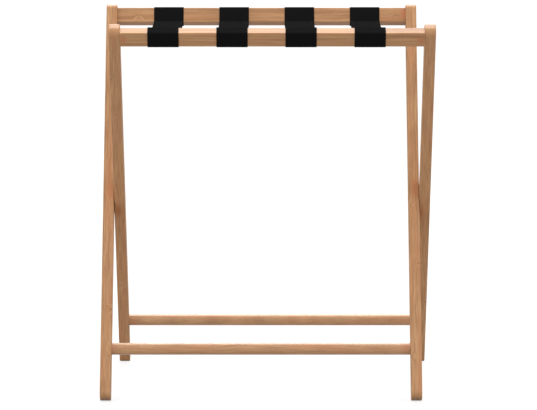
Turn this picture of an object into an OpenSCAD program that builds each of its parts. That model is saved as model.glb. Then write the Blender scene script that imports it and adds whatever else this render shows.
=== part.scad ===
// Folding luggage rack: two ladder frames that cross as an X and turn on two
// pivot bolts at mid-leg, with four webbing straps from rail to rail.
// Millimetres, +Z up. The origin is on the floor, midway between the feet.
// The front frame carries the front top rail and stands on the rear feet.
// The rear frame is the same frame turned half a turn about Z.
// Inside a frame, X runs along the rails, Z up along the legs from the pivot,
// and +Y is the inner side, which looks up at the straps.

/* [Overall] */
// Width over the outer legs
overall_w = 600; // [520:1:800]
// Angle of each leg from the vertical when open
tilt = 29.6; // [20:0.1:36]

/* [Legs] */
// Length of a leg
leg_l = 775; // [600:1:900]
// Width of a leg, along the rails
leg_w = 20; // [18:0.5:30]
// Depth of a leg, across the frame
leg_d = 29; // [26:0.5:45]
// Radius of the rounded leg ends
leg_end_r = 11; // [6:0.5:13]
// Radius of the eased long edges of the legs
leg_edge_r = 2; // [0.5:0.25:4]

/* [Top rails] */
// Height of a top rail, along the leg
rail_h = 29.5; // [22:0.5:45]
// Thickness of a top rail, across the frame
rail_t = 17; // [14:0.5:22]
// Drop of the rail's top face below the leg end
rail_drop = 5; // [0:0.5:20]
// Rail's inner face, from the middle of the leg
rail_in = 3.7; // [0:0.1:6]
// Radius of the eased edges of the rails
rail_edge_r = 1.5; // [0.5:0.25:4]

/* [Stretchers] */
// Diameter of a lower stretcher
stretcher_d = 21.3; // [18:0.1:26]
// Stretcher's axis below the pivot, along the leg
stretcher_drop = 291.1; // [150:0.1:340]
// Diameter of the turned tenon at each end
tenon_d = 14; // [10:0.5:17]
// Length of the tenon
tenon_l = 12; // [6:0.5:15]

/* [Rail dowels] */
// Diameter of a dowel pin
dowel_d = 6; // [5:0.5:8]
// Length of a dowel pin
dowel_l = 32; // [24:1:50]
// Depth of its hole in the leg
dowel_in_leg = 12; // [8:0.5:14]
// Distance between the two pins of a joint
dowel_gap = 14; // [11:0.5:15]

/* [Straps] */
// Width of a strap
strap_w = 55.4; // [30:0.2:60]
// Thickness of the webbing
strap_t = 1.3; // [1.2:0.1:3]
// Distance between strap centres
strap_pitch = 122.3; // [80:0.1:140]
// Length of the sewn lap under the strap, from the rail
lap_l = 46; // [20:1:80]

/* [Staples] */
// Width of a staple
staple_w = 11; // [8:0.5:14]
// Width of the staple's flat wire
staple_wire_w = 1.2; // [0.8:0.1:1.6]
// Thickness of the staple's flat wire
staple_wire_t = 0.6; // [0.4:0.1:1]
// Length of a staple's legs
staple_l = 9; // [6:0.5:12]
// Distance between the two staples of a strap
staple_gap = 27; // [16:1:28]

/* [Pivots] */
// Diameter of the sleeve that the legs turn on
barrel_d = 8.5; // [8:0.1:10]
// Diameter of the bolt's shank
shank_d = 6; // [5:0.1:6]
// Length of the bolt's shank, under the head
shank_l = 26; // [20:1:28]
// Diameter of the flat heads
head_d = 14; // [12:0.5:17]
// Thickness of the flat heads
head_t = 2; // [1.5:0.1:3]
// Depth of the heads below the wood
head_sink = 0.5; // [0:0.1:1]
// Key size of the sockets in the heads
socket_af = 4; // [3:0.5:4.5]
// Depth of the sockets in the heads
socket_depth = 2.6; // [1.5:0.1:3]

/* [Clearances] */
// Gap between the legs that turn side by side
leg_gap = 0.1; // [0.05:0.05:1]
// Radial clearance of the legs on the barrels
bore_fit = 0.05; // [0.02:0.01:0.1]
// Radial clearance of the heads in their counterbores
head_fit = 0.5; // [0.2:0.1:1]
// Radial clearance of glued dowels and tenons
glue_fit = 0.05; // [0.02:0.01:0.2]
// Clearance of the webbing round a rail
sleeve_fit = 0.1; // [0.05:0.05:0.5]
// Gap from a strap to the sleeve that it leaves
strap_fit = 0.4; // [0.3:0.1:1]
// Gap between the two halves of a strap
half_gap = 0.3; // [0.1:0.1:1]
// Gap from the end of a pivot's barrel to the bolt's head
barrel_gap = 1; // [0.5:0.1:2]

/* [Hidden] */
$fn = 64;

wood = "#b98e69";
dowel_wood = "#d9b88f";
webbing = "#171717";
steel = "#b4b6b8";

// The legs of the two frames lie side by side
leg_pitch = leg_w + leg_gap;
// Each frame is narrower than the rack and shifted towards its outer leg
frame_w = overall_w - leg_pitch;
frame_shift = leg_pitch / 2;
between_legs = frame_w - 2 * leg_w;
// The pivot is at the middle of the leg, with the rounded ends on the floor
pivot_z = (leg_l / 2 - leg_end_r) * cos(tilt) + (leg_d / 2 - leg_end_r) * sin(tilt) + leg_end_r;

rail_top = leg_l / 2 - rail_drop;
rail_mid_z = rail_top - rail_h / 2;
rail_mid_y = rail_in - rail_t / 2;

// The webbing turns about the middle of the rail's rounded inner bottom edge
turn_y = rail_in - rail_edge_r;
turn_z = rail_top - rail_h + rail_edge_r;
sleeve_grow = sleeve_fit + strap_t;
// That point with the rack open, seen from the origin
edge_y = turn_z * sin(tilt) - turn_y * cos(tilt);
edge_z = pivot_z + turn_z * cos(tilt) + turn_y * sin(tilt);
strap_start_y = edge_y - (rail_edge_r + sleeve_grow + strap_fit);

// Two legs and the gap between them, which a pivot's heads clasp
stack = 2 * leg_w + leg_gap;
barrel_l = stack - 2 * (head_t + head_sink) - barrel_gap;
// How far a cut runs past the face that it opens in
bore_past = 1;

// Each strap is four nodes, so their number isn't a size
strap_n = 4;
function strap_x(i) = (i - (strap_n + 1) / 2) * strap_pitch;

// Places a shape of the front frame, drawn about its own pivot axis
module in_front_frame() {
    translate([frame_shift, 0, pivot_z]) rotate([tilt, 0, 0]) children();
}

// The rear frame is the front frame turned half a turn
module in_rear_frame() {
    rotate([0, 0, 180]) in_front_frame() children();
}

module rounded_rect(w, h, r) {
    square([w - 2 * r, h], center = true);
    square([w, h - 2 * r], center = true);
    for (x = [-1, 1], y = [-1, 1])
        translate([x * (w / 2 - r), y * (h / 2 - r)]) circle(r);
}

// Extrudes a flat shape along X, with its own X along Y and its Y along Z
module along_x(l) {
    rotate([90, 0, 90]) linear_extrude(l, center = true) children();
}

// A pin or bore along X that starts at the origin
module pin_x(d, l) {
    rotate([0, 90, 0]) cylinder(d = d, h = l);
}

// The two dowel pins of one rail end, centred on the joint, towards -X in the leg
module dowel_pair(extra_r, in_leg, in_rail) {
    for (z = [-1, 1])
        translate([-in_leg, rail_mid_y, rail_mid_z + z * dowel_gap / 2])
            pin_x(dowel_d + 2 * extra_r, in_leg + in_rail);
}

// A leg of a frame; side is -1 for the left leg and 1 for the right one
module leg(side) {
    inner_face = -side * leg_w / 2;
    color(wood) translate([side * (frame_w - leg_w) / 2, 0, 0]) difference() {
        intersection() {
            along_x(leg_w) rounded_rect(leg_d, leg_l, leg_end_r);
            linear_extrude(leg_l, center = true) rounded_rect(leg_w, leg_d, leg_edge_r);
        }
        // The bore for the pivot barrel, and the counterbore for its head
        translate([-leg_w / 2 - bore_past, 0, 0])
            pin_x(barrel_d + 2 * bore_fit, leg_w + 2 * bore_past);
        translate([leg_w / 2 - head_t - head_sink, 0, 0])
            pin_x(head_d + 2 * head_fit, head_t + head_sink + bore_past);
        // Blind holes for the rail's dowels and the stretcher's tenon
        translate([inner_face, 0, 0]) mirror([side > 0 ? 1 : 0, 0, 0])
            dowel_pair(glue_fit, dowel_in_leg + glue_fit, bore_past);
        translate([inner_face, 0, -stretcher_drop]) mirror([side > 0 ? 1 : 0, 0, 0])
            translate([-tenon_l - glue_fit, 0, 0])
                pin_x(tenon_d + 2 * glue_fit, tenon_l + glue_fit + bore_past);
    }
}

// One flat-wire staple from below, its crown against the webbing; its legs point up
module staple() {
    translate([-staple_w / 2, -staple_wire_w / 2, -staple_wire_t])
        cube([staple_w, staple_wire_w, staple_wire_t]);
    staple_legs(staple_l);
}

module staple_legs(l) {
    for (x = [0, 1])
        translate([x ? staple_w / 2 - staple_wire_t : -staple_w / 2, -staple_wire_w / 2, -staple_wire_t])
            cube([staple_wire_t, staple_wire_w, l + staple_wire_t]);
}

// Places a shape at both staples of a strap that is centred at x
module at_staples(x) {
    for (s = [-1, 1])
        translate([x + s * staple_gap / 2, rail_mid_y, rail_top - rail_h - sleeve_grow])
            children();
}

// Strap centres along X inside a frame; turned is 1 for the front frame and -1 for the rear
function in_frame_x(i, turned) = turned * strap_x(i) - frame_shift;

module top_rail(turned) {
    color(wood) difference() {
        translate([0, rail_mid_y, rail_mid_z]) along_x(between_legs)
            rounded_rect(rail_t, rail_h, rail_edge_r);
        for (m = [0, 1])
            mirror([m, 0, 0]) translate([-between_legs / 2, 0, 0])
                dowel_pair(glue_fit, bore_past, dowel_l - dowel_in_leg + glue_fit);
        for (i = [1 : strap_n])
            at_staples(in_frame_x(i, turned)) staple_legs(staple_l);
    }
}

module stretcher() {
    color(wood) translate([0, 0, -stretcher_drop]) {
        translate([-between_legs / 2, 0, 0]) pin_x(stretcher_d, between_legs);
        translate([-between_legs / 2 - tenon_l, 0, 0]) pin_x(tenon_d, between_legs + 2 * tenon_l);
    }
}

module rail_dowels() {
    color(dowel_wood) for (m = [0, 1])
        mirror([m, 0, 0]) translate([-between_legs / 2, 0, 0])
            dowel_pair(0, dowel_in_leg, dowel_l - dowel_in_leg);
}

// The webbing round a rail
module strap_sleeve(x) {
    color(webbing) difference() {
        translate([x, rail_mid_y, rail_mid_z]) along_x(strap_w) difference() {
            rounded_rect(rail_t + 2 * sleeve_grow, rail_h + 2 * sleeve_grow, rail_edge_r + sleeve_grow);
            rounded_rect(rail_t + 2 * sleeve_fit, rail_h + 2 * sleeve_fit, rail_edge_r + sleeve_fit);
        }
        at_staples(x) staple_legs(staple_l);
    }
}

module strap_staples(turned) {
    color(steel) for (i = [1 : strap_n]) at_staples(in_frame_x(i, turned)) staple();
}

// Half of a taut strap, from the front rail to the middle, with its sewn lap below
module front_half(i) {
    color(webbing) translate([strap_x(i) - strap_w / 2, -strap_start_y, edge_z - strap_t / 2]) {
        cube([strap_w, strap_start_y - half_gap / 2, strap_t]);
        translate([0, 0, -strap_t]) cube([strap_w, lap_l, strap_t]);
    }
}

module rear_half(i) {
    mirror([0, 1, 0]) front_half(i);
}

function socket_d() = socket_af / cos(30);

// The bolt of the right pivot, from its head inwards; the left one is turned half a turn
module pivot_bolt() {
    color(steel) translate([overall_w / 2 - head_sink, 0, pivot_z]) rotate([0, -90, 0]) difference() {
        union() {
            cylinder(d = head_d, h = head_t);
            cylinder(d = shank_d, h = head_t + shank_l);
        }
        translate([0, 0, -bore_past]) cylinder(d = socket_d(), h = socket_depth + bore_past, $fn = 6);
    }
}

// The sleeve nut, from its head outwards
module pivot_nut() {
    color(steel) translate([overall_w / 2 - stack + head_sink, 0, pivot_z]) rotate([0, 90, 0]) difference() {
        union() {
            cylinder(d = head_d, h = head_t);
            cylinder(d = barrel_d, h = head_t + barrel_l);
        }
        translate([0, 0, -bore_past]) cylinder(d = socket_d(), h = socket_depth + bore_past, $fn = 6);
        translate([0, 0, head_t + barrel_l - shank_l])
            cylinder(d = shank_d + 2 * bore_fit, h = shank_l + bore_past);
    }
}

module front_frame_left_leg() { in_front_frame() leg(-1); }
module front_frame_right_leg() { in_front_frame() leg(1); }
module front_frame_top_rail() { in_front_frame() top_rail(1); }
module front_frame_stretcher() { in_front_frame() stretcher(); }
module front_frame_rail_dowels() { in_front_frame() rail_dowels(); }
module front_strap_staples() { in_front_frame() strap_staples(1); }
module front_strap_sleeve(i) { in_front_frame() strap_sleeve(in_frame_x(i, 1)); }

module rear_frame_left_leg() { in_rear_frame() leg(1); }
module rear_frame_right_leg() { in_rear_frame() leg(-1); }
module rear_frame_top_rail() { in_rear_frame() top_rail(-1); }
module rear_frame_stretcher() { in_rear_frame() stretcher(); }
module rear_frame_rail_dowels() { in_rear_frame() rail_dowels(); }
module rear_strap_staples() { in_rear_frame() strap_staples(-1); }
module rear_strap_sleeve(i) { in_rear_frame() strap_sleeve(in_frame_x(i, -1)); }

module right_pivot_bolt() { pivot_bolt(); }
module right_pivot_nut() { pivot_nut(); }
module left_pivot_bolt() { rotate([0, 0, 180]) pivot_bolt(); }
module left_pivot_nut() { rotate([0, 0, 180]) pivot_nut(); }

front_frame_left_leg();
front_frame_right_leg();
front_frame_top_rail();
front_frame_stretcher();
front_frame_rail_dowels();
front_strap_staples();
front_strap_sleeve(1);  // front_strap_sleeve_1
front_strap_sleeve(2);  // front_strap_sleeve_2
front_strap_sleeve(3);  // front_strap_sleeve_3
front_strap_sleeve(4);  // front_strap_sleeve_4

rear_frame_left_leg();
rear_frame_right_leg();
rear_frame_top_rail();
rear_frame_stretcher();
rear_frame_rail_dowels();
rear_strap_staples();
rear_strap_sleeve(1);  // rear_strap_sleeve_1
rear_strap_sleeve(2);  // rear_strap_sleeve_2
rear_strap_sleeve(3);  // rear_strap_sleeve_3
rear_strap_sleeve(4);  // rear_strap_sleeve_4

front_half(1);  // front_strap_half_1
front_half(2);  // front_strap_half_2
front_half(3);  // front_strap_half_3
front_half(4);  // front_strap_half_4
rear_half(1);  // rear_strap_half_1
rear_half(2);  // rear_strap_half_2
rear_half(3);  // rear_strap_half_3
rear_half(4);  // rear_strap_half_4

left_pivot_bolt();
left_pivot_nut();
right_pivot_bolt();
right_pivot_nut();
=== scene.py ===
"""Folding luggage rack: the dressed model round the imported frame.

Each wooden member, fastener and strap is modelled in its own local frame and then put in its
place. Inside a ladder frame, X runs along the rails, Y across the frame with + on the inner
side, and Z along the legs from the pivot. The rear frame is the front frame turned half a turn.
"""

import math
from functools import partial

import bmesh
import bpy
from mathutils import Matrix, Vector


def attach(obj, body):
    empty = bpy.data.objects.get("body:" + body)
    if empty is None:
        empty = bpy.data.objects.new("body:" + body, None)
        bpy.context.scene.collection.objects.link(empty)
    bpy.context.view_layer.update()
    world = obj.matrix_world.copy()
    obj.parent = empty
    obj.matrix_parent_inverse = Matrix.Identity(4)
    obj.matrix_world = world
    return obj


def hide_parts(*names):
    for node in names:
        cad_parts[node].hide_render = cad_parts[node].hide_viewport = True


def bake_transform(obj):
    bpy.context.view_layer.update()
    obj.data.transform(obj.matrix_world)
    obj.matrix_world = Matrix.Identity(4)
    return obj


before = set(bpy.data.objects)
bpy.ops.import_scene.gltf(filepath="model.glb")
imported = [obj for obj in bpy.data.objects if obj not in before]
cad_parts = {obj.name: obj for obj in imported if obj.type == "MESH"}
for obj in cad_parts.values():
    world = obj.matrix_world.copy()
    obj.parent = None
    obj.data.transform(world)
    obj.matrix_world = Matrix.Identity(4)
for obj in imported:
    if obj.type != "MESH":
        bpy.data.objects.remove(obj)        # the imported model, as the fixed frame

bl_info = {
    "name": "Luggage rack",
    "version": (1, 0, 0),
    "blender": (4, 5, 0),
    "location": "3D View > Sidebar > Rack",
    "description": "Models the timber, fasteners, webbing and studio of a folding luggage rack",
    "category": "Add Mesh",
}

MM = 0.001
TINY = 1e-6
PAST = 1 * MM            # how far a cutter stands out of the piece that it cuts
HALF_TURN = Matrix.Rotation(math.pi, 4, "Z")
TURNS = {"front": Matrix.Identity(4), "rear": HALF_TURN}       # of the two ladder frames


def srgb(code):
    """Turns an sRGB hex colour to linear RGBA."""
    parts = [int(code[i:i + 2], 16) / 255 for i in (1, 3, 5)]
    return [p / 12.92 if p <= 0.04045 else ((p + 0.055) / 1.055) ** 2.4 for p in parts] + [1.0]


def length(name, description, millimetres):
    """A length property with its default in millimetres."""
    return bpy.props.FloatProperty(
        name=name, description=description, default=millimetres * MM,
        min=0.0, subtype="DISTANCE", unit="LENGTH", precision=5)


def colour(name, description, code):
    """A colour property with its default as an sRGB hex value."""
    return bpy.props.FloatVectorProperty(
        name=name, description=description, default=srgb(code),
        size=4, min=0.0, max=1.0, subtype="COLOR")


class RackTimberSizes(bpy.types.PropertyGroup):
    """Sizes of the legs, top rails and stretchers."""

    overall_w: length("Overall width", "Width over the outer legs", 600)
    tilt: bpy.props.FloatProperty(
        name="Tilt", description="Angle of each leg from the vertical when open",
        default=math.radians(29.6), subtype="ANGLE", unit="ROTATION")
    leg_l: length("Leg length", "Length of a leg", 775)
    leg_w: length("Leg width", "Width of a leg, along the rails", 20)
    leg_d: length("Leg depth", "Depth of a leg, across the frame", 29)
    leg_end_r: length("Leg end radius", "Radius of the rounded leg ends", 11)
    leg_edge_r: length("Leg edge radius", "Radius of the eased edges of the legs", 2)
    leg_gap: length("Leg gap", "Gap between the legs of the two frames", 0.1)
    rail_h: length("Rail height", "Height of a top rail, along the leg", 29.5)
    rail_t: length("Rail thickness", "Thickness of a top rail, across the frame", 17)
    rail_drop: length("Rail drop", "Drop of the rail's top face below the leg end", 5)
    rail_in: length("Rail inner face", "Rail's inner face, from the middle of the leg", 3.7)
    rail_edge_r: length("Rail edge radius", "Radius of the eased edges of the rails", 1.5)
    stretcher_d: length("Stretcher diameter", "Diameter of a lower stretcher", 21.3)
    stretcher_drop: length("Stretcher drop", "Stretcher's axis below the pivot", 291.1)
    tenon_d: length("Tenon diameter", "Diameter of the turned tenons", 14)
    tenon_l: length("Tenon length", "Length of the turned tenons", 12)
    dowel_d: length("Dowel diameter", "Diameter of the pins in the rail joints", 6)
    dowel_l: length("Dowel length", "Length of the pins in the rail joints", 32)
    dowel_in_leg: length("Dowel depth", "Depth of the pins in the leg", 12)
    dowel_gap: length("Dowel spacing", "Distance between the two pins of a joint", 14)
    glue_fit: length("Glue clearance", "Radial clearance of glued pins and tenons", 0.05)


class RackPivotSizes(bpy.types.PropertyGroup):
    """Sizes of the pivot bolts and sleeve nuts."""

    barrel_d: length("Barrel diameter", "Sleeve that the legs turn on", 8.5)
    shank_d: length("Shank diameter", "Diameter of the bolt's shank", 6)
    shank_l: length("Shank length", "Length of the bolt's shank, under the head", 26)
    head_d: length("Head diameter", "Diameter of the flat heads", 14)
    head_t: length("Head thickness", "Thickness of the flat heads", 2)
    head_sink: length("Head depth", "Depth of the heads below the wood", 0.5)
    head_fit: length("Head clearance", "Radial clearance of the heads", 0.5)
    bore_fit: length("Bore clearance", "Radial clearance on the barrel", 0.05)
    barrel_gap: length("Barrel gap", "Gap from the barrel's end to the bolt's head", 1)
    socket_af: length("Socket key size", "Key size of the sockets", 4)
    socket_depth: length("Socket depth", "Depth of the sockets", 2.6)


class RackStrapSizes(bpy.types.PropertyGroup):
    """Sizes of the webbing straps and their sewn laps."""

    strap_w: length("Strap width", "Width of the webbing", 55.4)
    strap_t: length("Strap thickness", "Thickness of the webbing", 1.3)
    strap_pitch: length("Strap pitch", "Distance between strap centres", 122.3)
    sleeve_fit: length("Sleeve clearance", "Clearance of the webbing round a rail", 0.1)
    lap_l: length("Lap length", "Length of the sewn lap under the strap", 46)
    turn_r: length("Turn radius", "Radius of the turns from the rail into the span", 3)
    selvedge_r: length("Selvedge radius", "Rounding of the woven edges", 0.6)
    stitch_l: length("Stitch length", "Length of one stitch", 3.2)
    thread_d: length("Thread diameter", "Diameter of the sewing thread", 0.6)


class RackColours(bpy.types.PropertyGroup):
    """Colours of the finishes."""

    wood_light: colour("Light wood", "Early wood under the lacquer", "#ce9f73")
    wood_dark: colour("Dark wood", "Late wood under the lacquer", "#a0734e")
    wood_red: colour("Red wood", "Reddish heart streaks", "#c28258")
    wood_knot: colour("Knot", "Core of a small pin knot", "#6b4328")
    raw_beech: colour("Raw beech", "Unfinished dowel pins", "#d9b88f")
    raw_beech_dark: colour("Raw beech, dark", "Flecks of the dowel pins", "#bd9468")
    # The dark webbing colour is the dye's darker side and painted shade in the weave's valleys;
    # the light one is its lighter side and painted light on the crowns.
    webbing_dark_and_valley_shade: colour("Webbing, valleys", "Black yarn between the ribs", "#121212")
    webbing_light_and_crown_light: colour("Webbing, crowns", "Black yarn on the ribs", "#1c1c1d")
    thread: colour("Thread", "Bonded sewing thread", "#1a1a1b")
    zinc: colour("Zinc", "Zinc plate on steel", "#b4b6b8")
    zinc_dull: colour("Zinc, dull", "Duller patches of the plate", "#999c9f")


def timber():
    return bpy.context.scene.rack_timber


def pivot():
    return bpy.context.scene.rack_pivot


def webbing():
    return bpy.context.scene.rack_webbing


def colours():
    return bpy.context.scene.rack_colours


# Places of the parts, from the sizes

def leg_pitch():
    return timber().leg_w + timber().leg_gap


def between_legs():
    return timber().overall_w - leg_pitch() - 2 * timber().leg_w


def pivot_height():
    s = timber()
    rise = (s.leg_l / 2 - s.leg_end_r) * math.cos(s.tilt)
    return rise + (s.leg_d / 2 - s.leg_end_r) * math.sin(s.tilt) + s.leg_end_r


def rail_mid():
    """Middle of a top rail inside its frame, as (y, z)."""
    s = timber()
    return s.rail_in - s.rail_t / 2, s.leg_l / 2 - s.rail_drop - s.rail_h / 2


def in_frame(which):
    """The matrix from inside a ladder frame to the rack's own frame."""
    place = (Matrix.Translation((leg_pitch() / 2, 0, pivot_height()))
             @ Matrix.Rotation(timber().tilt, 4, "X"))
    return TURNS[which] @ place


# Modelling helpers

def only(obj):
    """Makes one object the only selected and active one."""
    bpy.ops.object.select_all(action="DESELECT")
    obj.select_set(True)
    bpy.context.view_layer.objects.active = obj
    return obj


def named(name):
    """Names the primitive that was just added, and puts its place, turn and scale in its mesh."""
    obj = bpy.context.active_object
    obj.name = obj.data.name = name
    only(obj)
    bpy.ops.object.transform_apply(location=True, rotation=True, scale=True)
    return obj


def block(name, size, middle=(0, 0, 0)):
    bpy.ops.mesh.primitive_cube_add(size=1, location=middle, scale=size)
    return named(name)


def round_bar(name, radius, x_from, x_to, y=0.0, z=0.0, sides=48, radius_to=None):
    """A bar or cone along X."""
    bpy.ops.mesh.primitive_cone_add(
        vertices=sides, radius1=radius, radius2=radius if radius_to is None else radius_to,
        depth=x_to - x_from, location=((x_from + x_to) / 2, y, z), rotation=(0, math.pi / 2, 0))
    return named(name)


def edit(obj):
    only(obj)
    bpy.ops.object.mode_set(mode="EDIT")
    bpy.ops.mesh.select_all(action="DESELECT")


def leave_edit():
    bpy.ops.object.mode_set(mode="OBJECT")


def pick(obj, kind, test):
    """Selects, in edit mode, each edge whose two ends pass the test, or each face whose normal
    does."""
    bpy.ops.mesh.select_mode(type=kind)
    bpy.ops.mesh.select_all(action="DESELECT")
    mesh = bmesh.from_edit_mesh(obj.data)
    if kind == "EDGE":
        found = [e for e in mesh.edges if test(e.verts[0].co, e.verts[1].co)]
    else:
        found = [f for f in mesh.faces if test(f.normal)]
    if not found:
        raise RuntimeError(f"{obj.name}: nothing was found to work on")
    for part in found:
        part.select_set(True)
    bmesh.update_edit_mesh(obj.data)


def pull_end(obj, end, inset, move, shrink=1.0):
    """Insets the end face that looks along X, to -X where end is -1, and draws it out."""
    pick(obj, "FACE", lambda normal: normal.x * end > 0.9)
    if inset:
        bpy.ops.mesh.inset(thickness=inset)
    bpy.ops.mesh.extrude_region_move(TRANSFORM_OT_translate={"value": move})
    if shrink != 1.0:
        bpy.ops.transform.resize(value=(1, shrink, shrink))


def bevel(obj, test, offset, segments):
    """Rounds the edges that pass the test, or chamfers them where segments is 1."""
    pick(obj, "EDGE", test)
    bpy.ops.mesh.bevel(offset=offset, segments=segments, affect="EDGES")


def apply_modifier(obj, kind, **settings):
    only(obj)
    modifier = obj.modifiers.new(kind.lower(), kind)
    for key, value in settings.items():
        setattr(modifier, key, value)
    bpy.ops.object.modifier_apply(modifier=modifier.name)


def cut(obj, cutters):
    """Takes the cutters out of a piece, one after the other, and removes them."""
    for cutter in cutters:
        apply_modifier(obj, "BOOLEAN", operation="DIFFERENCE", solver="EXACT", object=cutter)
        bpy.data.objects.remove(cutter)


def smooth_hard(obj, angle=40):
    """Smooth fillets between faces that stay flat."""
    only(obj)
    bpy.ops.object.shade_smooth_by_angle(angle=math.radians(angle))
    apply_modifier(obj, "WEIGHTED_NORMAL", keep_sharp=True, weight=60)


def copy_piece(obj, name, place):
    """A copy with its own mesh, put in place in that mesh."""
    twin = obj.copy()
    twin.data = obj.data.copy()
    twin.name = twin.data.name = name
    bpy.context.scene.collection.objects.link(twin)
    only(twin)
    twin.matrix_world = place
    bpy.ops.object.transform_apply(location=True, rotation=True, scale=True)
    return twin


def give_material(obj, material):
    obj.data.materials.clear()
    obj.data.materials.append(material)


def dress(obj, material, body, slot, *nodes):
    """Finishes a rigid piece: its material, body and the CAD nodes it stands for; slot is not
    used.
    """
    give_material(obj, material)
    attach(obj, body)
    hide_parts(*nodes)


# Materials

def add_node(tree, kind, **values):
    """Adds a node. Each keyword is one of its settings, or else an input: its number, as i0, or
    its name with _ for a space. An input takes a value, a socket, or a node for the node's first
    output."""
    node = tree.nodes.new("ShaderNode" + kind)
    for key, value in values.items():
        if key in node.bl_rna.properties:
            setattr(node, key, value)
            continue
        numbered = key[0] == "i" and key[1:].isdigit()
        socket = node.inputs[int(key[1:]) if numbered else key.replace("_", " ")]
        if isinstance(value, bpy.types.Node):
            value = value.outputs[0]
        if isinstance(value, bpy.types.NodeSocket):
            tree.links.new(value, socket)
        else:
            socket.default_value = value
    return node


def empty_tree(owner):
    """Clears the nodes of a material or world. Returns add_node for its tree."""
    owner.use_nodes = True
    owner.node_tree.nodes.clear()
    return partial(add_node, owner.node_tree)


def new_material(name):
    material = bpy.data.materials.new(name)
    return material, empty_tree(material)


def grain_noise(add, at, waves, detail, roughness=0.5):
    """Noise with so many waves in a metre along X, Y and Z."""
    scaled = add("VectorMath", operation="MULTIPLY", i0=at, i1=waves)
    return add("TexNoise", Vector=scaled, Scale=1.0, Detail=detail,
               Roughness=roughness).outputs["Fac"]


def distance_from(add, at, point, radii):
    """The distance from a point, in the radii of an ellipsoid round it, both in mm."""
    off = add("VectorMath", operation="SUBTRACT", i0=at, i1=[v * MM for v in point])
    scaled = add("VectorMath", operation="MULTIPLY", i0=off, i1=[1 / (r * MM) for r in radii])
    return add("VectorMath", operation="LENGTH", i0=scaled).outputs["Value"]


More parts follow.
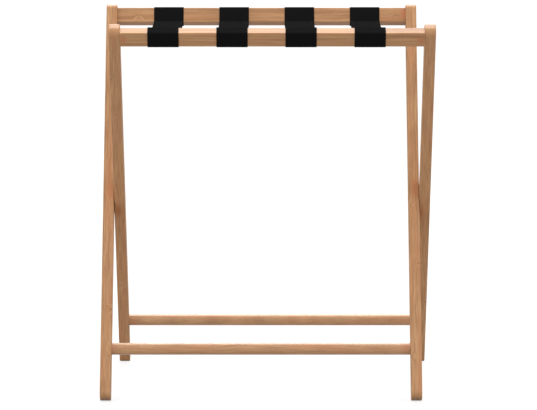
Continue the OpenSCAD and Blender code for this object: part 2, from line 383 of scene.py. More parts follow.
def lacquered_beech(name, grain, pith, seed, red, tone=0.0, knots=(), bounce_and_shade_patches=(), coat=0.5,
                    wander=(22, 6, 45)):
    """Beech, planed and sanded, under a satin clear lacquer.

    The eye sees lengthwise streaks of early and late wood, a few reddish heart streaks, short
    dark flecks, and small pin knots with the grain running round them. The lacquer gives a soft
    sheen that whitens the tops. The pattern is a solid one, so it also runs over the ends.
    grain is the matrix whose Z lies along the fibres. The rest comes from the table of cuts.
    """
    c = colours()
    material, add = new_material(name)
    place = grain.inverted()
    where = add("TexCoord")
    at = add("Mapping", Vector=where.outputs["Object"], Location=place.translation,
             Rotation=place.to_euler())
    shifted = add("VectorMath", operation="ADD", i0=at, i1=(seed * 0.37, seed * 0.53, seed * 1.7))

    # The fibres wander by some 2 mm over 45 mm of length, and over 120 mm in the rails
    waves, reach, streak = wander
    drift = grain_noise(add, shifted, (22, 22, waves), 2.0, 0.55)
    flat = add("VectorMath", operation="MULTIPLY_ADD", i0=at, i1=(1, 1, 0),
               i2=(-pith[0] * MM, -pith[1] * MM, 0))
    radius = add("VectorMath", operation="LENGTH", i0=flat).outputs["Value"]
    ring = add("Math", operation="MULTIPLY_ADD", i0=drift, i1=reach * MM, i2=radius)

    # Round each knot the rings are pushed aside, in an eye that is longer than wide
    core = None
    for x, y, z, size, dark in knots:
        far = distance_from(add, at, (x, y, z), (size, 3 * size, 1.3 * size))
        bulge = add("MapRange", interpolation_type="SMOOTHSTEP", Value=far, From_Max=2.4,
                    To_Min=2.2 * size * MM, To_Max=0.0)
        ring = add("Math", operation="ADD", i0=ring, i1=bulge)
        dot = add("MapRange", interpolation_type="SMOOTHSTEP", Value=far, From_Min=0.2,
                  From_Max=0.6, To_Min=dark, To_Max=0.0)
        core = dot if core is None else add("Math", operation="MAXIMUM", i0=core, i1=dot)

    # Growth rings 2 to 3 mm wide, as streaks
    along = add("SeparateXYZ", Vector=shifted).outputs["Z"]
    ring_step = add("Math", operation="DIVIDE", i0=ring, i1=2.6 * MM)
    ring_run = add("Math", operation="MULTIPLY", i0=along, i1=1 / (streak * MM))
    ring_at = add("CombineXYZ", X=ring_step, Y=seed * 3.1, Z=ring_run)
    rings = add("TexNoise", Vector=ring_at, Scale=1.0, Detail=2.0, Roughness=0.5).outputs["Fac"]

    # Fibres 0.7 mm wide and 25 mm long
    fibres = grain_noise(add, shifted, (1400, 1400, 40), 3.0, 0.6)

    # Ray flecks, really 0.3 by 3 mm, drawn about twice as large so that they show
    fleck_at = add("VectorMath", operation="MULTIPLY", i0=shifted, i1=(700, 700, 85))
    fleck = add("TexVoronoi", Vector=fleck_at, Scale=1.0).outputs["Distance"]
    flecks = add("MapRange", Value=fleck, From_Min=0.12, From_Max=0.3, To_Min=1.0, To_Max=0.0)

    figure = add("Math", operation="MULTIPLY_ADD", i0=fibres, i1=0.6, i2=rings)
    figure = add("MapRange", Value=figure, From_Min=0.5 + tone, From_Max=1.1 + tone)
    base = add("Mix", data_type="RGBA", i0=figure, i6=c.wood_dark, i7=c.wood_light).outputs[2]

    # Reddish heart streaks, some 11 mm wide and 125 mm long
    heart = grain_noise(add, shifted, (90, 90, 8), 1.0)
    heart = add("MapRange", interpolation_type="SMOOTHSTEP", Value=heart, From_Min=0.42,
                From_Max=0.72, To_Max=red)
    base = add("Mix", data_type="RGBA", i0=heart, i6=base, i7=c.wood_red).outputs[2]
    # Reddish, darker patches at the leg crossings and where rails and stretchers meet the legs:
    # painted bounce light and shade.
    for x, y, z, wide, long, code in bounce_and_shade_patches:
        far = distance_from(add, at, (x, y, z), (wide / 2, BOUNCE_PATCH_DEPTH, long / 2))
        # The streaks break up the edge of the painted patch
        ragged = add("Math", operation="MULTIPLY_ADD", i0=rings, i1=-1.2, i2=far)
        bounce_and_shade = add("MapRange", interpolation_type="SMOOTHSTEP", Value=ragged, From_Min=-0.6,
                    From_Max=0.6, To_Min=0.75, To_Max=0.0)
        base = add("Mix", data_type="RGBA", i0=bounce_and_shade, i6=base, i7=srgb(code)).outputs[2]

    flecks = add("Math", operation="MULTIPLY", i0=flecks, i1=0.3)
    base = add("Mix", data_type="RGBA", i0=flecks, i6=base, i7=c.wood_dark).outputs[2]
    if core is not None:
        base = add("Mix", data_type="RGBA", i0=core, i6=base, i7=c.wood_knot).outputs[2]

    # End grain drinks more lacquer, so it is a little darker
    facing = add("VectorMath", operation="DOT_PRODUCT", i0=where.outputs["Normal"],
                 i1=grain.col[2].xyz).outputs["Value"]
    facing = add("Math", operation="ABSOLUTE", i0=facing)
    end = add("MapRange", interpolation_type="SMOOTHSTEP", Value=facing, From_Min=0.75, To_Max=0.3)
    base = add("Mix", data_type="RGBA", i0=end, i6=base, i7=c.wood_dark).outputs[2]

    # All the gloss is the lacquer's, which is a little duller over the open early wood
    rough = add("MapRange", Value=figure, To_Min=0.3, To_Max=0.4)
    relief = add("Bump", Strength=0.2, Distance=0.05 * MM, Height=figure)
    shader = add("BsdfPrincipled", Base_Color=base, Roughness=0.8, Specular_IOR_Level=0.0,
                 Coat_Weight=coat, Coat_Roughness=rough, Coat_IOR=1.5, Normal=relief,
                 Coat_Normal=relief)
    add("OutputMaterial", Surface=shader)
    return material


def raw_beech():
    """Beech, turned to pins and left raw: pale and matt, with fine darker flecks."""
    c = colours()
    material, add = new_material("raw_turned_beech")
    where = add("TexCoord")
    # Flecks 0.5 mm wide and 4 mm long, along the pins
    flecks = grain_noise(add, where.outputs["Object"], (250, 2000, 2000), 2.0)
    base = add("Mix", data_type="RGBA", i0=flecks, i6=c.raw_beech_dark, i7=c.raw_beech).outputs[2]
    relief = add("Bump", Strength=0.4, Distance=0.05 * MM, Height=flecks)
    shader = add("BsdfPrincipled", Base_Color=base, Roughness=0.7, Normal=relief)
    add("OutputMaterial", Surface=shader)
    return material


def zinc_plated_steel():
    """Mild steel, cold headed or drawn, then zinc plated: a bright grey with duller clouds."""
    c = colours()
    material, add = new_material("zinc_plated_steel")
    at = add("TexCoord").outputs["Object"]
    # Clouds of some 2 mm, and a plating texture of 0.3 mm
    clouds = add("TexNoise", Vector=at, Scale=500.0, Detail=3.0).outputs["Fac"]
    fine = add("TexNoise", Vector=at, Scale=3300.0, Detail=1.0).outputs["Fac"]
    base = add("Mix", data_type="RGBA", i0=clouds, i6=c.zinc_dull, i7=c.zinc).outputs[2]
    rough = add("MapRange", Value=clouds, From_Min=0.3, From_Max=0.7, To_Min=0.24, To_Max=0.38)
    relief = add("Bump", Strength=0.2, Distance=0.02 * MM, Height=fine)
    shader = add("BsdfPrincipled", Base_Color=base, Metallic=1.0, Roughness=rough, Normal=relief)
    add("OutputMaterial", Surface=shader)
    return material


def woven_webbing():
    """Polyester webbing, woven in a herringbone twill and dyed black.

    The eye sees an even, matt near-black, and close up the chevrons of the twill between two
    plain selvedges. The colour follows the weave's height, so its valleys carry painted shade
    and its crowns painted light. Real twill lines are 1 mm apart; they are drawn 2.2 mm apart so
    that they show.
    """
    c, s = colours(), webbing()
    material, add = new_material("black_woven_webbing")
    uv = add("UVMap", uv_map="weave")
    across, along, _ = add("SeparateXYZ", Vector=uv).outputs
    # Eight columns over the width, that slant by turns
    zigzag = add("Math", operation="PINGPONG", i0=across, i1=s.strap_w / 8)
    diagonal = add("Math", operation="ADD", i0=along, i1=zigzag)
    turns = add("Math", operation="MULTIPLY", i0=diagonal, i1=2 * math.pi / (2.2 * MM))
    twill = add("Math", operation="SINE", i0=turns)
    # 48 warp yarns, 1.15 mm apart
    rib_turns = add("Math", operation="MULTIPLY", i0=across, i1=2 * math.pi * 48 / s.strap_w)
    ribs = add("Math", operation="COSINE", i0=rib_turns)
    # The outer 3 mm on each side are plain selvedge
    off_middle = add("Math", operation="SUBTRACT", i0=across, i1=s.strap_w / 2)
    off_middle = add("Math", operation="ABSOLUTE", i0=off_middle)
    selvedge = add("MapRange", Value=off_middle, From_Min=s.strap_w / 2 - 3.4 * MM,
                   From_Max=s.strap_w / 2 - 3 * MM)
    body = add("Math", operation="MULTIPLY_ADD", i0=ribs, i1=0.35, i2=twill)
    height = add("Mix", data_type="FLOAT", i0=selvedge, i2=body, i3=ribs)
    height = add("MapRange", Value=height, From_Min=-1.35, From_Max=1.35)
    # Loose fibres, and slow changes of the dye along the strap
    fuzz = add("TexNoise", Vector=uv, Scale=2600.0, Detail=2.0).outputs["Fac"]
    dye = add("TexNoise", Vector=uv, Scale=45.0, Detail=2.0).outputs["Fac"]
    # The tone starts from the weave's height: darker valleys are painted shade, lighter crowns
    # painted light; the fibres and dye on top are real.
    tone = height
    for noise in (fuzz, dye):
        tone = add("Math", operation="MULTIPLY_ADD", i0=noise, i1=0.5, i2=tone)
    tone = add("MapRange", Value=tone, From_Min=0.3, From_Max=1.7)
    base = add("Mix", data_type="RGBA", i0=tone, i6=c.webbing_dark_and_valley_shade, i7=c.webbing_light_and_crown_light).outputs[2]
    rough = add("MapRange", Value=fuzz, From_Min=0.3, From_Max=0.7, To_Min=0.75, To_Max=0.9)
    relief = add("Bump", Strength=0.5, Distance=0.15 * MM, Height=height)
    shader = add("BsdfPrincipled", Base_Color=base, Roughness=rough, IOR=1.45,
                 Specular_IOR_Level=0.0, Normal=relief)
    add("OutputMaterial", Surface=shader)
    return material


def bonded_thread():
    """Polyester sewing thread, twisted and bonded: black, with a faint gloss on its twist."""
    c = colours()
    material, add = new_material("black_bonded_thread")
    uv = add("UVMap", uv_map="weave")
    # Plies 0.5 mm apart, leaning over the stitch; the grooves between them are painted darker as
    # shade
    lay = add("VectorMath", operation="DOT_PRODUCT", i0=uv,
              i1=(2 * math.pi / (0.5 * MM),) * 3).outputs["Value"]
    plies = add("Math", operation="SINE", i0=lay)
    plies = add("MapRange", Value=plies, From_Min=-1.0)
    # Painted shade: the ply grooves take the darker webbing colour.
    base = add("Mix", data_type="RGBA", i0=plies, i6=c.webbing_dark_and_valley_shade, i7=c.thread).outputs[2]
    relief = add("Bump", Strength=0.5, Distance=0.05 * MM, Height=plies)
    shader = add("BsdfPrincipled", Base_Color=base, Roughness=0.75, Specular_IOR_Level=0.05,
                 Normal=relief)
    add("OutputMaterial", Surface=shader)
    return material


def cached(make):
    """The material that a function makes, made once."""
    name = "rack_" + make.__name__
    if name not in bpy.data.materials:
        make().name = name
    return bpy.data.materials[name]


# Timber

# How each member is cut from the log, in its own grain frame with Z along the fibres, in mm:
#   pith     where the middle of the log lies, (x, y)
#   seed     picks the grain
#   red      the share of reddish heart streaks
#   tone     how much darker the member is
#   knots    pin knots, (x, y, z, radius, how dark)
#   patches  reddish patches of painted bounce light and shade where members meet or cross, (x, y,
#   z, width, length, colour)
#   coat     the share of the surface that the lacquer closes
#   wander   how the fibres wander: waves in a metre, reach, length of the streaks
# Depth of the patches of painted bounce light and shade, in mm
BOUNCE_PATCH_DEPTH = 10
STRAIGHT = (8, 6, 120)   # the wander of the rails
CUTS = {
    "front_frame_left_leg": dict(
        pith=(70, -18), seed=1, red=0.35,
        knots=((2.6, -14.5, -194, 4, 0.2), (1, -14.5, 203, 4, 0.2), (-3, -14.5, 288, 3.5, 0.2)),
        bounce_and_shade_patches=((-2, -14.5, -17, 15, 34, "#ab683f"),)),
    "front_frame_right_leg": dict(
        pith=(-64, -30), seed=2, red=0.25,
        knots=((-5.4, -14.5, -140, 3, 0.5), (6, -14.5, -235, 3.5, 0.3),
               (1.4, -14.5, 84, 3.5, 0.0)),
        bounce_and_shade_patches=((-6.5, -14.5, -23, 9, 40, "#a9683c"),)),
    "front_frame_top_rail": dict(
        pith=(55, 40), seed=3, red=0.1, wander=STRAIGHT,
        bounce_and_shade_patches=((0, -8.5, -264, 22, 14, "#bd7752"), (0, -8.5, 264, 22, 18, "#bd7752"))),
    "front_frame_stretcher": dict(
        pith=(38, 46), seed=9, red=0.5, tone=-0.06, coat=1.0,
        bounce_and_shade_patches=((0, -10, -262, 18, 26, "#b9744d"), (0, -10, 264, 16, 18, "#b9744d"))),
    "rear_frame_left_leg": dict(
        pith=(-58, 34), seed=5, red=0.45, tone=0.03,
        knots=((-6.8, 14.5, -219.8, 4.5, 0.5), (-4.8, 14.5, -309, 3.5, 0.5)),
        bounce_and_shade_patches=((-3, 14.5, 10, 16, 46, "#cc895a"),)),
    "rear_frame_right_leg": dict(
        pith=(66, 22), seed=6, red=0.4, tone=0.045,
        knots=((6.2, 14.5, -18.1, 3, 0.6), (6.2, 14.5, -310, 3.5, 0.4),
               (-6.5, 14.5, -131, 4, 0.4), (-6.8, 14.5, 260, 3, 0.5)),
        bounce_and_shade_patches=((-2, 14.5, 14, 15, 46, "#bd764c"),)),
    "rear_frame_top_rail": dict(
        pith=(-30, 62), seed=7, red=0.35, tone=0.13, wander=STRAIGHT,
        knots=((6.5, 8.5, 230, 4, 0.5), (2.3, 8.5, -253, 4, 0.5)),
        bounce_and_shade_patches=((-2, 8.5, -266, 26, 14, "#c67852"),)),
    "rear_frame_stretcher": dict(
        pith=(-44, 40), seed=8, red=0.5, tone=-0.04, coat=1.0,
        bounce_and_shade_patches=((0, 10, -262, 18, 20, "#b9744d"), (0, 10, 264, 16, 18, "#b7795a"))),
}


def place_timber(master, which, kind, place, grain):
    """A finished copy of a wooden member, in the place of its CAD node."""
    node = f"{which}_frame_{kind}"
    piece = copy_piece(master, f"timber_{node}", place)
    material = lacquered_beech(f"lacquered_beech_{node}", grain, **CUTS[node])
    dress(piece, material, f"{which}_frame", "wood", node)


def place_bars(master, kind, y, z):
    """A rail or stretcher in each frame, with its grain along X."""
    for which in TURNS:
        place = in_frame(which) @ Matrix.Translation((0, y, z))
        grain = place @ Matrix.Rotation(math.pi / 2, 4, "Y")
        place_timber(master, which, kind, place, grain)
    bpy.data.objects.remove(master)


def model_leg(name, side):
    """A leg inside its frame. side is -1 for the left leg and 1 for the right one."""
    s, p = timber(), pivot()
    half = s.leg_w / 2
    leg = block(name, (s.leg_w, s.leg_d, s.leg_l))
    edit(leg)
    bevel(leg, lambda a, b: abs(a.x - b.x) > TINY, s.leg_end_r, 9)
    bevel(leg, lambda a, b: abs(a.x - b.x) < TINY, s.leg_edge_r, 4)
    leave_edit()

    bore_r = p.barrel_d / 2 + p.bore_fit
    sink_r = p.head_d / 2 + p.head_fit
    floor = half - p.head_t - p.head_sink
    lead = 0.4 * MM          # width of the counterbore's chamfer
    cutters = [
        round_bar("bore", bore_r, -half - PAST, half + PAST),
        round_bar("counterbore", sink_r, floor, half + PAST),
        round_bar("mouth", sink_r, half - lead, half + PAST, radius_to=sink_r + lead + PAST),
    ]
    # Blind holes in the inner face, for the rail's pins and the stretcher's tenon
    rail_y, rail_z = rail_mid()
    inner, out = -side * half, -side * PAST
    for z in (-1, 1):
        ends = sorted((inner + out, inner + side * (s.dowel_in_leg + s.glue_fit)))
        cutters.append(round_bar("pin_hole", s.dowel_d / 2 + s.glue_fit, *ends, y=rail_y,
                                 z=rail_z + z * s.dowel_gap / 2, sides=32))
    ends = sorted((inner + out, inner + side * (s.tenon_l + s.glue_fit)))
    cutters.append(round_bar("tenon_hole", s.tenon_d / 2 + s.glue_fit, *ends,
                             z=-s.stretcher_drop))
    cut(leg, cutters)
    smooth_hard(leg)
    return leg


class RACK_OT_legs(bpy.types.Operator):
    """Model the four legs, with rounded ends, eased edges and bored joints"""

    bl_idname = "rack.legs"
    bl_label = "Legs"
    bl_options = {"REGISTER", "UNDO"}

    def execute(self, context):
        s = timber()
        out = (s.overall_w - leg_pitch() - s.leg_w) / 2
        # The rear frame's left leg is the right leg of the frame, turned
        for side, front, rear in ((-1, "left", "right"), (1, "right", "left")):
            master = model_leg("leg", side)
            for which, hand in (("front", front), ("rear", rear)):
                place = in_frame(which) @ Matrix.Translation((side * out, 0, 0))
                place_timber(master, which, f"{hand}_leg", place, place)
            bpy.data.objects.remove(master)
        return {"FINISHED"}


class RACK_OT_rails(bpy.types.Operator):
    """Model the two top rails, with eased edges and holes for their pins"""

    bl_idname = "rack.rails"
    bl_label = "Top rails"
    bl_options = {"REGISTER", "UNDO"}

    def execute(self, context):
        s = timber()
        span = between_legs()
        rail = block("rail", (span, s.rail_t, s.rail_h))
        edit(rail)
        bevel(rail, lambda a, b: abs(a.x - b.x) > TINY, s.rail_edge_r, 5)
        leave_edit()
        deep = s.dowel_l - s.dowel_in_leg + s.glue_fit
        holes = []
        for end in (-1, 1):
            ends = sorted((end * (span / 2 + PAST), end * (span / 2 - deep)))
            for z in (-1, 1):
                holes.append(round_bar("pin_hole", s.dowel_d / 2 + s.glue_fit, *ends,
                                       z=z * s.dowel_gap / 2, sides=32))
        cut(rail, holes)
        smooth_hard(rail)
        place_bars(rail, "top_rail", *rail_mid())
        return {"FINISHED"}


class RACK_OT_stretchers(bpy.types.Operator):
    """Model the two round lower stretchers with their turned tenons"""

    bl_idname = "rack.stretchers"
    bl_label = "Stretchers"
    bl_options = {"REGISTER", "UNDO"}

    def execute(self, context):
        s = timber()
        span = between_legs()
        bar = round_bar("stretcher", s.stretcher_d / 2, -span / 2, span / 2, sides=64)
        tip = span / 2 + s.tenon_l
        tip_round = 1 * MM
        edit(bar)
        for end in (-1, 1):
            pull_end(bar, end, (s.stretcher_d - s.tenon_d) / 2, (end * s.tenon_l, 0, 0))
            bevel(bar, lambda a, b: min(a.x * end, b.x * end) > tip - TINY, tip_round, 2)
        leave_edit()
        smooth_hard(bar)
        place_bars(bar, "stretcher", 0, -s.stretcher_drop)
        return {"FINISHED"}


# Pivots and hidden fasteners

def model_fastener(name, stem_r, stem_l, bore_r=0.0, bore_l=0.0):
    """A flat-headed fastener along X, its socket at the origin and its stem towards +X."""
    p = pivot()
    piece = round_bar(name, p.head_d / 2, 0, p.head_t, sides=64)
    tip = p.head_t + stem_l
    edge = 0.4 * MM          # rounding of the head, and chamfer of the stem's end
    edit(piece)
    pull_end(piece, 1, p.head_d / 2 - stem_r, (stem_l, 0, 0))
    bevel(piece, lambda a, b: max(a.x, b.x) < TINY, edge, 3)
    bevel(piece, lambda a, b: min(a.x, b.x) > tip - TINY, edge, 1)
    leave_edit()
    key_r = p.socket_af / 2 / math.cos(math.pi / 6)
    lead = 0.2 * MM          # how much wider than the key the socket's mouth is
    deep = 0.3 * MM          # how far the cone of the mouth reaches in
    cutters = [
        round_bar("socket", key_r, -PAST, p.socket_depth, sides=6),
        round_bar("socket_mouth", key_r + lead + PAST, -PAST, deep,
                  radius_to=key_r + lead - deep),
    ]
    if bore_r:
        cutters.append(round_bar("bore", bore_r, tip - bore_l, tip + PAST))
    cut(piece, cutters)
    smooth_hard(piece, 35)
    return piece


class RACK_OT_pivots(bpy.types.Operator):
    """Model the two pivot bolts and their sleeve nuts, sunk in the legs"""

    bl_idname = "rack.pivots"
    bl_label = "Pivots"
    bl_options = {"REGISTER", "UNDO"}

    def execute(self, context):
        s, p = timber(), pivot()
        stack = 2 * s.leg_w + s.leg_gap
        sunk = p.head_t + p.head_sink
        barrel_l = stack - 2 * sunk - p.barrel_gap
        bolt = model_fastener("bolt", p.shank_d / 2, p.shank_l)
        nut = model_fastener("nut", p.barrel_d / 2, barrel_l, p.shank_d / 2 + p.bore_fit,
                             p.shank_l)
        outer = s.overall_w / 2 - p.head_sink
        inner = s.overall_w / 2 - stack + p.head_sink
        height = pivot_height()
        for hand, turn in (("right", Matrix.Identity(4)), ("left", HALF_TURN)):
            for kind, master, place in (
                    ("bolt", bolt, Matrix.Translation((outer, 0, height)) @ HALF_TURN),
                    ("nut", nut, Matrix.Translation((inner, 0, height)))):
                piece = copy_piece(master, f"{hand}_{kind}", turn @ place)
                dress(piece, cached(zinc_plated_steel), "front_frame", "steel",
                      f"{hand}_pivot_{kind}")
        for master in (bolt, nut):
            bpy.data.objects.remove(master)
        return {"FINISHED"}


class RACK_OT_fasteners(bpy.types.Operator):
    """Finish the staples and dowel pins, which keep their exact CAD shapes"""

    bl_idname = "rack.fasteners"
    bl_label = "Staples and pins"
    bl_options = {"REGISTER", "UNDO"}

    def execute(self, context):
        for kind, make in (("strap_staples", zinc_plated_steel),
                           ("frame_rail_dowels", raw_beech)):
            for which in TURNS:
                give_material(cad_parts[f"{which}_{kind}"], cached(make))
        return {"FINISHED"}


# Straps

LAP_GAP = 0.02 * MM      # between the lap and the span over it
LAP_SLACK = 0.4 * MM     # between the rail's wrap and the start of the lap
OVERRUN = 4 * MM         # how far a half is drawn past the middle before it is cut there
ARC_STEP = 15            # degrees


def rounded_path(corners, radii, step):
    """Points, at most a step apart, along a path whose inner corners have these radii."""
    points = [Vector(corners[0])]

    def go_to(target):
        start = points[-1].copy()
        count = max(1, math.ceil((target - start).length / step))
        points.extend(start.lerp(target, i / count) for i in range(1, count + 1))

    for i, radius in enumerate(radii):
        before, corner, after = (Vector(corners[i + k]) for k in range(3))
        into, on = (corner - before).normalized(), (after - corner).normalized()
        angle = into.angle(on)
        reach = radius * math.tan(angle / 2)
        go_to(corner - into * reach)
        side = (on - into).normalized()
        centre = corner + side * (radius / math.cos(angle / 2))
        arm = points[-1] - centre
        turn = 1 if into.cross(on) > 0 else -1
        count = max(3, math.ceil(math.degrees(angle) / ARC_STEP))
        for k in range(1, count + 1):
            a = turn * angle * k / count
            points.append(centre + Vector((arm.x * math.cos(a) - arm.y * math.sin(a),
                                           arm.x * math.sin(a) + arm.y * math.cos(a))))
    go_to(Vector(corners[-1]))
    return points


def strap_levels():
    """The middle of the front rail's rounded inner bottom edge, as (y, z). The webbing folds
    about it, and it is as high as the middle layer of the span."""
    s = timber()
    turn_y = s.rail_in - s.rail_edge_r
    turn_z = s.leg_l / 2 - s.rail_drop - s.rail_h + s.rail_edge_r
    y = turn_y * math.cos(s.tilt) - turn_z * math.sin(s.tilt)
    z = pivot_height() + turn_z * math.cos(s.tilt) + turn_y * math.sin(s.tilt)
    return y, z


def strap_route():
    """The middle layer of the front half of a strap, as (y, z) points: from the end of the
    lap under the span, round the rail, down its inner face and along the span."""
    s, w = timber(), webbing()
    off = w.sleeve_fit + w.strap_t / 2
    low, high = s.rail_in - s.rail_t - off, s.rail_in + off
    top = s.leg_l / 2 - s.rail_drop + off
    bottom = top - s.rail_h - 2 * off
    cos, sin, rise = math.cos(s.tilt), math.sin(s.tilt), pivot_height()

    def out(y, z):
        return y * cos - z * sin, rise + y * sin + z * cos

    edge_y, span_z = strap_levels()
    lap_z = span_z - w.strap_t - LAP_GAP
    # Where the layers under the rail and down its inner face meet the lap and the span
    y_under = (lap_z - rise - bottom * cos) / sin
    z_inner = (span_z - rise - high * sin) / cos
    lap_end = edge_y + s.rail_edge_r + w.sleeve_fit + w.strap_t + LAP_SLACK + w.lap_l
    corners = [(lap_end, lap_z), out(y_under, bottom), out(low, bottom), out(low, top),
               out(high, top), out(high, z_inner), (OVERRUN, span_z)]
    wrap_r = s.rail_edge_r + off
    return rounded_path(corners, [w.turn_r, wrap_r, wrap_r, wrap_r, w.turn_r], 2.5 * MM)


def running_lengths(route):
    """How far each point of the route is from its start."""
    run = [0.0]
    for here, there in zip(route, route[1:]):
        run.append(run[-1] + (there - here).length)
    return run


def half_length():
    """The flat length of half a strap, up to the middle of the span."""
    return running_lengths(strap_route())[-1] - OVERRUN


def model_strap():
    """The front half of a strap, centred at X 0, with its weave map in metres."""
    w = webbing()
    route = strap_route()
    first, second = route[0], route[1]
    bpy.ops.mesh.primitive_plane_add(size=1)
    bpy.context.active_object.scale.x = w.strap_w
    strap = named("strap")
    for vertex in strap.data.vertices:
        vertex.co.y, vertex.co.z = first if vertex.co.y > 0 else second
    edit(strap)
    pick(strap, "EDGE", lambda a, b: max((v.yz - second).length for v in (a, b)) < TINY)
    for here, there in zip(route[1:], route[2:]):
        bpy.ops.mesh.extrude_edges_move(
            TRANSFORM_OT_translate={"value": (0, there.x - here.x, there.y - here.y)})
    leave_edit()

    # The weave map: across the strap and along it, both in metres
    run = running_lengths(route)
    weave = strap.data.uv_layers.new(name="weave")
    for loop in strap.data.loops:
        at = strap.data.vertices[loop.vertex_index].co
        nearest = min(range(len(route)), key=lambda i: (route[i] - at.yz).length)
        weave.data[loop.index].uv = (at.x + w.strap_w / 2, run[nearest])

    apply_modifier(strap, "SOLIDIFY", thickness=w.strap_t, offset=0.0, use_even_offset=True)
    apply_modifier(strap, "BEVEL", width=w.selvedge_r, segments=3, limit_method="ANGLE",
                   angle_limit=math.radians(60))
    # The two halves of a strap meet at the middle of the span
    edit(strap)
    bpy.ops.mesh.select_all(action="SELECT")
    bpy.ops.mesh.bisect(plane_co=(0, 0, 0), plane_no=(0, 1, 0), use_fill=True,
                        clear_outer=True)
    bpy.ops.mesh.select_all(action="SELECT")
    bpy.ops.mesh.normals_make_consistent(inside=False)
    leave_edit()
    smooth_hard(strap, 50)
    return strap


def copy_to_straps(master, kind, make):
    """Copies a soft piece to both halves of the four straps, and yields each copy with its
    frame and its strap's number."""
    for i in range(1, 5):
        for which, turn in TURNS.items():
            place = Matrix.Translation(((i - 2.5) * webbing().strap_pitch, 0, 0)) @ turn
            piece = copy_piece(master, f"{kind}_{which}_strap_{i}", place)
            give_material(piece, cached(make))
            yield piece, which, i
    bpy.data.objects.remove(master)


def bend_with_rail(piece, which):
    """Puts the place of a soft piece into its mesh."""
    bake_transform(piece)


class RACK_OT_straps(bpy.types.Operator):
    """Model the four webbing straps, each as two halves that wrap their rails"""

    bl_idname = "rack.straps"
    bl_label = "Straps"
    bl_options = {"REGISTER", "UNDO"}

    def execute(self, context):
        whole_l = 2 * half_length()
        for strap, which, i in copy_to_straps(model_strap(), "webbing", woven_webbing):
            if which == "rear":
                # The weave runs on over the middle of the span
                for corner in strap.data.uv_layers["weave"].data:
                    across, along = corner.uv
                    corner.uv = (webbing().strap_w - across, whole_l - along)
            bend_with_rail(strap, which)
            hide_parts(f"{which}_strap_sleeve_{i}", f"{which}_strap_half_{i}")
        return {"FINISHED"}


def model_stitch():
    """One stitch along X, its thread round and its two ends sunk."""
    w = webbing()
    r = w.thread_d / 2
    end_l, space = 0.35 * MM, 0.3 * MM
    body = w.stitch_l - 2 * end_l - space
    stitch = round_bar("stitch", r, -body / 2, body / 2, sides=6)
    edit(stitch)
    for end in (-1, 1):
        pull_end(stitch, end, 0, (end * end_l, 0, -0.3 * r), shrink=0.6)
    leave_edit()
    weave = stitch.data.uv_layers.new(name="weave")
    for loop in stitch.data.loops:
        at = stitch.data.vertices[loop.vertex_index].co
        weave.data[loop.index].uv = (at.x, math.atan2(at.z, at.y) * r)
    return stitch


def model_stitching():
    """A box stitch with its cross, on both faces of the lap, for a strap at X 0."""
    w = webbing()
    y, span_z = strap_levels()
    from_rail, box_l, from_edge = 9.5 * MM, 35.5 * MM, 5 * MM
    near, far = y + from_rail, y + from_rail + box_l
    side = w.strap_w / 2 - from_edge
    box = [Vector((-side, near)), Vector((side, near)), Vector((side, far)),
           Vector((-side, far))]
    lines = [(box[i], box[(i + 1) % 4]) for i in range(4)]
    lines += [(box[0], box[2]), (box[1], box[3])]
    stitch = model_stitch()
    # The thread lies half sunk in the top of the span and in the underside of the lap
    faces = ((span_z + w.strap_t / 2 + 0.03 * MM, 1),
             (span_z - 1.5 * w.strap_t - 0.05 * MM, -1))
    rows = []
    for z, up in faces:
        for start, end in lines:
            run = end - start
            count = round(run.length / w.stitch_l)
            angle = math.atan2(run.y, run.x)
            flip = Matrix.Identity(4) if up > 0 else Matrix.Rotation(math.pi, 4, "X")
            row = copy_piece(stitch, "row", flip)
            apply_modifier(row, "ARRAY", count=count, use_relative_offset=False,
                           use_constant_offset=True,
                           constant_offset_displace=(run.length / count, 0, 0))
            row.matrix_world = (Matrix.Translation((start.x, start.y, z))
                                @ Matrix.Rotation(angle, 4, "Z")
                                @ Matrix.Translation((run.length / count / 2, 0, 0)))
            rows.append(row)
    bpy.data.objects.remove(stitch)
    only(rows[0])
    for row in rows:
        row.select_set(True)
    bpy.ops.object.transform_apply(location=True, rotation=True, scale=True)
    bpy.ops.object.join()
    stitching = bpy.context.active_object
    only(stitching)
    bpy.ops.object.shade_smooth()
    return stitching


class RACK_OT_stitching(bpy.types.Operator):
    bl_idname = "rack.stitching"
    bl_label = "Stitching"
    bl_options = {"REGISTER", "UNDO"}

    def execute(self, context):
        flat = (webbing().strap_w, half_length())
        for sewn, which, i in copy_to_straps(model_stitching(), "thread", bonded_thread):
            bend_with_rail(sewn, which)
        return {"FINISHED"}


# Studio

# The softbox hangs over the rack and a little behind it. The panel stands well behind it and is
# only there to be mirrored in the lacquer, as the white rims of the upper edges.
LAMPS = {
    "softbox": dict(aim=(0, -0.17, 0.66), away=(0, 0.423, 0.906), distance=4.0,
                    size=(1.8, 1.8), watts=108, diffuse=True),
    "rim_panel": dict(aim=(0, 0, 0.3), away=(0, 0.843, 0.538), distance=4.3,
                      size=(3.0, 3.2), watts=140, diffuse=False),
}
# Fitted to the edges of the legs, rails and straps in the photograph
CAMERA_AT = (0.00598, -6.41419, 1.31049)
CAMERA_TURN = (math.radians(90 - 8.7062), 0, 0.000413)
CAMERA_LENS = 236.57


def white_to_the_eye(add):
    """A factor of 1 for rays from the camera, and for glossy and clear surfaces."""
    rays = add("LightPath").outputs
    seen = add("Math", operation="MAXIMUM", i0=rays["Is Camera Ray"], i1=rays["Is Glossy Ray"])
    return add("Math", operation="MAXIMUM", i0=seen, i1=rays["Is Transmission Ray"])


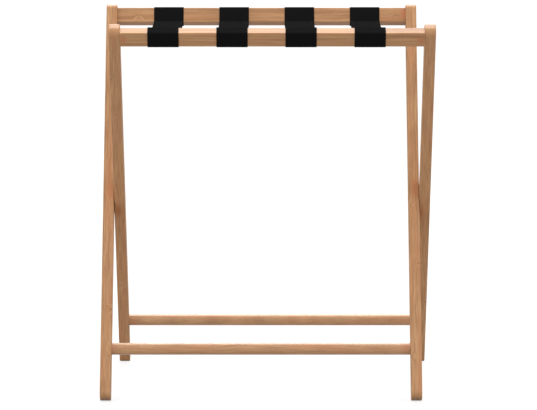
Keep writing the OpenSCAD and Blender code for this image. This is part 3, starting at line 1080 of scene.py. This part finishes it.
def paper_floor():
    """White paper sweep, matt: pure white to the eye, with the object's soft shadow."""
    material, add = new_material("matt_white_paper_sweep")
    where = add("TexCoord")
    # A faint paper tooth of 3 mm
    tooth = add("TexNoise", Vector=where.outputs["Object"], Scale=330.0, Detail=2.0).outputs["Fac"]
    relief = add("Bump", Strength=0.05, Distance=0.1 * MM, Height=tooth)
    bounce = add("BsdfDiffuse", Color=srgb("#979797"), Normal=relief)
    paper = add("BsdfDiffuse", Color=srgb("#7c7c7c"), Normal=relief)
    lift = add("Emission", Color=srgb("#ffffff"), Strength=0.79)
    shown = add("AddShader", i0=paper, i1=lift)
    surface = add("MixShader", i0=white_to_the_eye(add), i1=bounce, i2=shown)
    add("OutputMaterial", Surface=surface)
    return material


class RACK_OT_studio(bpy.types.Operator):
    """Lay the white floor, light the rack softly and set up the camera"""

    bl_idname = "rack.studio"
    bl_label = "Studio"
    bl_options = {"REGISTER", "UNDO"}

    def execute(self, context):
        scene = context.scene
        bpy.ops.mesh.primitive_plane_add(size=24, location=(0, 4, 0))
        floor = named("studio_floor")
        floor.data.materials.append(paper_floor())

        world = bpy.data.worlds.new("studio_white")
        scene.world = world
        add = empty_tree(world)
        seen = add("Background", Color=srgb("#ffffff"), Strength=1.0)
        light = add("Background", Color=srgb("#ffffff"), Strength=1.2)
        both = add("MixShader", i0=white_to_the_eye(add), i1=light, i2=seen)
        add("OutputWorld", Surface=both)

        for name, look in LAMPS.items():
            away = Vector(look["away"])
            bpy.ops.object.light_add(type="AREA",
                                     location=Vector(look["aim"]) + away * look["distance"])
            lamp = context.active_object
            lamp.name = name
            lamp.rotation_euler = away.to_track_quat("Z", "Y").to_euler()
            lamp.data.shape = "RECTANGLE"
            lamp.data.size, lamp.data.size_y = look["size"]
            lamp.data.energy = look["watts"]
            lamp.visible_camera = False
            lamp.visible_diffuse = look["diffuse"]

        bpy.ops.object.camera_add(location=CAMERA_AT, rotation=CAMERA_TURN)
        camera = context.active_object
        camera.name = "studio_camera"
        camera.data.lens = CAMERA_LENS
        camera.data.sensor_width = 36
        camera.data.clip_end = 100
        scene.camera = camera
        scene.view_settings.view_transform = "Standard"
        return {"FINISHED"}


STEPS = ("legs", "rails", "stretchers", "pivots", "fasteners", "straps", "stitching", "studio")


class VIEW3D_PT_rack(bpy.types.Panel):
    """The rack's steps, sizes and colours"""

    bl_label = "Luggage rack"
    bl_space_type = "VIEW_3D"
    bl_region_type = "UI"
    bl_category = "Rack"

    def draw(self, context):
        for step in STEPS:
            self.layout.operator(f"rack.{step}")
        for group in (context.scene.rack_timber, context.scene.rack_pivot,
                      context.scene.rack_webbing, context.scene.rack_colours):
            box = self.layout.box()
            for key in group.bl_rna.properties.keys():
                if key not in ("rna_type", "name"):
                    box.prop(group, key)


GROUPS = {
    "rack_timber": RackTimberSizes,
    "rack_pivot": RackPivotSizes,
    "rack_webbing": RackStrapSizes,
    "rack_colours": RackColours,
}
CLASSES = (*GROUPS.values(), RACK_OT_legs, RACK_OT_rails, RACK_OT_stretchers, RACK_OT_pivots,
           RACK_OT_fasteners, RACK_OT_straps, RACK_OT_stitching, RACK_OT_studio, VIEW3D_PT_rack)


def register():
    for cls in CLASSES:
        bpy.utils.register_class(cls)
    for name, group in GROUPS.items():
        setattr(bpy.types.Scene, name, bpy.props.PointerProperty(type=group))


def unregister():
    for name in GROUPS:
        delattr(bpy.types.Scene, name)
    for cls in reversed(CLASSES):
        bpy.utils.unregister_class(cls)


def main():
    """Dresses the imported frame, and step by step."""
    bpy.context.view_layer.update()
    register()
    for step in STEPS:
        getattr(bpy.ops.rack, step)()


if __name__ == "__main__":
    main()
